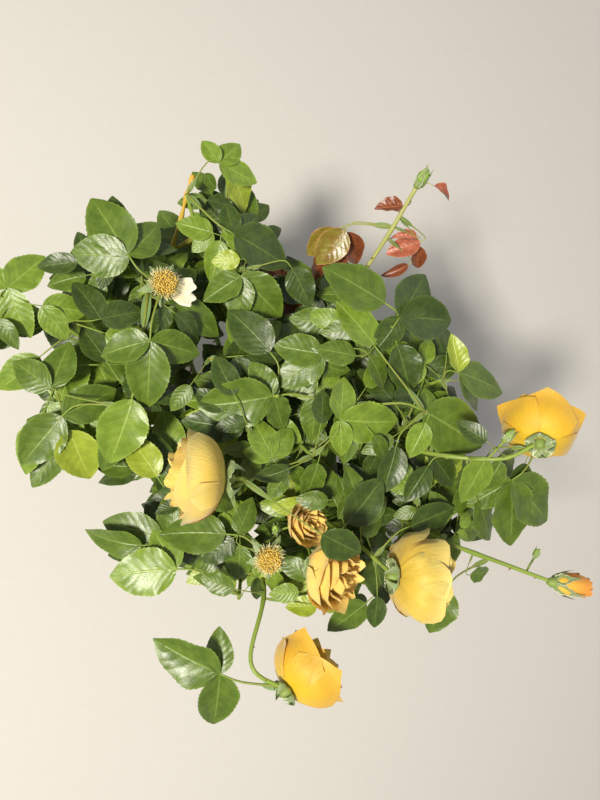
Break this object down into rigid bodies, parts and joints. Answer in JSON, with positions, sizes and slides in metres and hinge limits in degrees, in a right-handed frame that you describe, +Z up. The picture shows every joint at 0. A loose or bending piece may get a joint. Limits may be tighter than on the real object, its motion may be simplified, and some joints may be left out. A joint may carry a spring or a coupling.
{
  "type": "rose bush",
  "caption": "Low bush rose with butter yellow blooms, bright buds, spent flowers and glossy green leaves on thorny arching canes.",
  "frame": {"origin": "centre of the flat cut under the main stem, at ground level", "axes": "+Z up along the stem, +X toward the side that the longest flowering shoots lean to, +Y toward the back of the bush; the front faces -Y"},
  "size_m": [0.605, 0.5731, 0.5124],
  "materials": {
    "bark": "rough grey brown bark",
    "cane": "smooth green cane with thorns",
    "foliage": "glossy green leaves with yellow petals"
  },
  "bodies": {
    "root": {"main_stem": "bark", "cane_left": "cane", "cane_back": "cane", "cane_right": "cane", "cane_front": "cane", "cane_near_left": "cane", "cane_middle": "cane", "bough_upper_left": "cane", "bough_back_right": "cane", "bough_front_right": "cane", "bough_front_left": "cane", "foliage_left": "foliage", "foliage_upper_left": "foliage", "foliage_back": "foliage", "foliage_back_right": "foliage", "foliage_right": "foliage", "foliage_front_right": "foliage", "foliage_front": "foliage", "foliage_front_left": "foliage", "foliage_near_left": "foliage", "foliage_middle": "foliage"}
  },
  "joints": []
}
